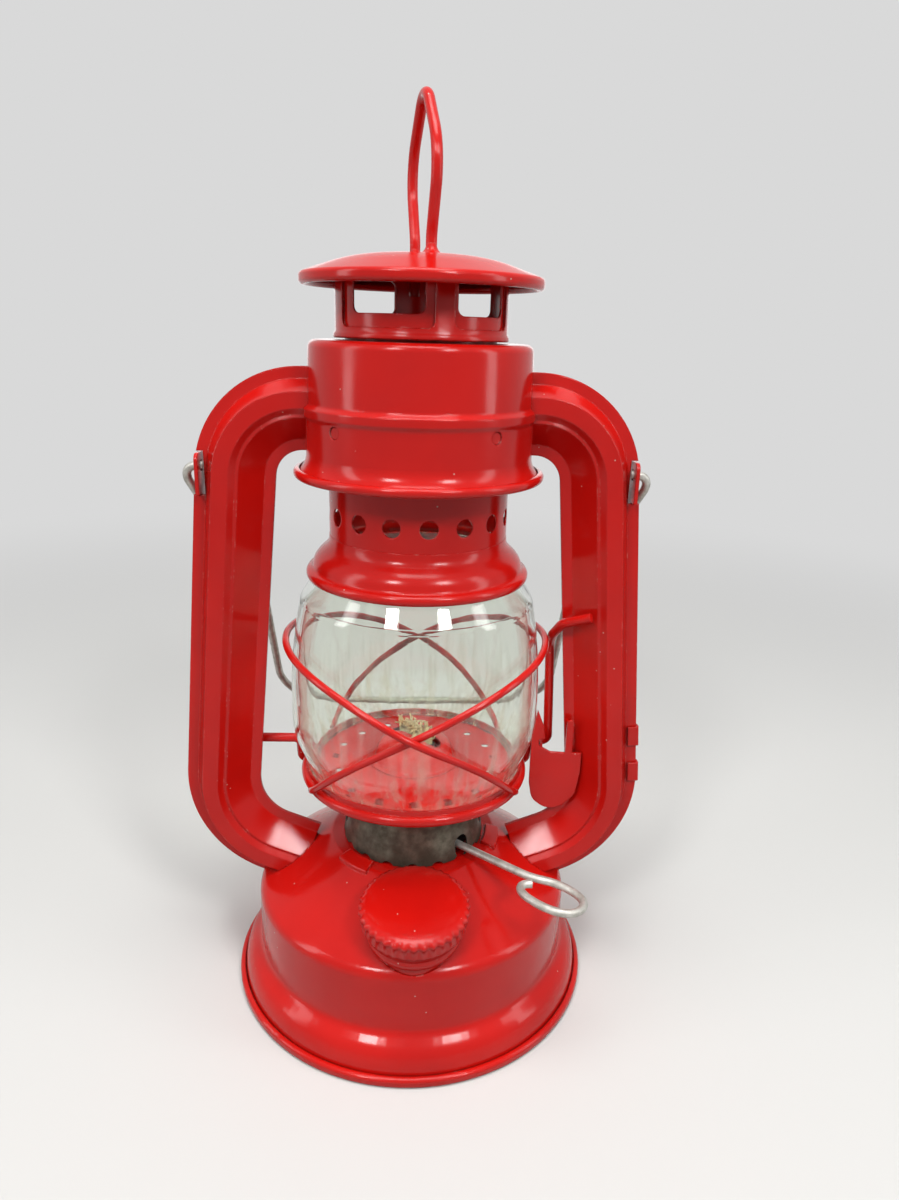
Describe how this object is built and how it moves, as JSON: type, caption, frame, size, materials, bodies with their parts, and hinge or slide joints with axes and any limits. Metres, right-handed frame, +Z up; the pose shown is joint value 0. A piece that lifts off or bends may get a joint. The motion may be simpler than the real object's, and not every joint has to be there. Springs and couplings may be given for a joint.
{
  "type": "hurricane lantern",
  "caption": "Hurricane lantern with a wick burner, a glass globe in crossed wire guards, hollow side tubes, a lifting chimney under a vented hood and a wire bail.",
  "frame": {"origin": "centre of the foot ring's underside, where the lantern stands", "axes": "+Z up along the burner and chimney axis, -Y to the front where the fuel cap is, +X across through the side tubes towards the lift lever's handle"},
  "size_m": [0.1388, 0.11, 0.2512],
  "materials": {
    "red_enamel": "gloss",
    "galvanised_sheet": "dull, stained",
    "galvanised_wire": "satin",
    "spring_steel": "satin",
    "spur_brass": "satin",
    "globe_glass": "clear",
    "wick_cotton": "woven",
    "gasket_cork": "matte"
  },
  "bodies": {
    "frame": {"fount_shell": "red_enamel", "fount_bottom": "red_enamel", "filler_neck": "red_enamel", "burner_base": "galvanised_sheet", "burner_collar": "galvanised_sheet", "burner_deck": "galvanised_sheet", "wick_tube": "galvanised_sheet", "drum_shell": "red_enamel", "drum_floor": "red_enamel", "left_tube_front": "red_enamel", "left_tube_back": "red_enamel", "right_tube_front": "red_enamel", "right_tube_back": "red_enamel", "lifter_bracket": "red_enamel", "tube_clips": "red_enamel", "chimney_spring": "spring_steel"},
    "bail": {"bail": "galvanised_wire"},
    "lever": {"lift_lever": "red_enamel"},
    "globe_carriage": {"globe_plate": "red_enamel", "burner_cone": "red_enamel", "globe": "globe_glass", "globe_guard_left": "red_enamel", "globe_guard_right": "red_enamel"},
    "chimney": {"globe_bell": "red_enamel", "chimney_neck": "red_enamel", "chimney_tube": "red_enamel", "hood_skirt": "red_enamel", "hood_cap": "red_enamel", "lift_ring": "red_enamel"},
    "adjuster": {"wick_adjuster": "galvanised_wire", "wick_spur_wheels": "spur_brass"},
    "wick": {"wick": "wick_cotton"},
    "cap_gasket": {"fuel_cap_gasket": "gasket_cork"},
    "fuel_cap": {"fuel_cap": "red_enamel"}
  },
  "joints": [
    {"name": "bail_swing", "type": "hinge", "parent": "frame", "child": "bail", "pos_m": [0, 0, 0.159], "axis": [1, 0, 0], "range_deg": [0, 300]},
    {"name": "lever_turn", "type": "hinge", "parent": "frame", "child": "lever", "pos_m": [0, 0.0056, 0.0742], "axis": [1, 0, 0], "range_deg": [0, 72]},
    {"name": "globe_lift", "type": "slide", "parent": "frame", "child": "globe_carriage", "axis": [0, 0, 1], "range_m": [0, 0.0082], "deforming": ["chimney_spring"]},
    {"name": "chimney_pull", "type": "slide", "parent": "globe_carriage", "child": "chimney", "axis": [0, 0, 1], "range_m": [0, 0.0058], "stiffness_N_per_m": 100, "springref_m": -0.01},
    {"name": "adjuster_turn", "type": "hinge", "parent": "frame", "child": "adjuster", "pos_m": [-0.00183, -0.00225, 0.0499], "axis": [0.7771, -0.6293, 0], "range_deg": [-312, 156]},
    {"name": "wick_rise", "type": "slide", "parent": "frame", "child": "wick", "axis": [0, 0, 1], "range_m": [-0.012, 0.006]},
    {"name": "cap_lift", "type": "slide", "parent": "frame", "child": "cap_gasket", "axis": [0, -0.1253, 0.9921], "range_m": [0, 0.0038]},
    {"name": "cap_turn", "type": "hinge", "parent": "cap_gasket", "child": "fuel_cap", "pos_m": [0.0007, -0.0373, 0.0464], "axis": [0, -0.1253, 0.9921], "range_deg": [0, 450]}
  ],
  "couplings": [
    {"joint": "lever_turn", "follows": "globe_lift", "rad_per_m": 153.2},
    {"joint": "adjuster_turn", "follows": "wick_rise", "rad_per_m": 453.7},
    {"joint": "cap_turn", "follows": "cap_lift", "rad_per_m": 2066}
  ]
}
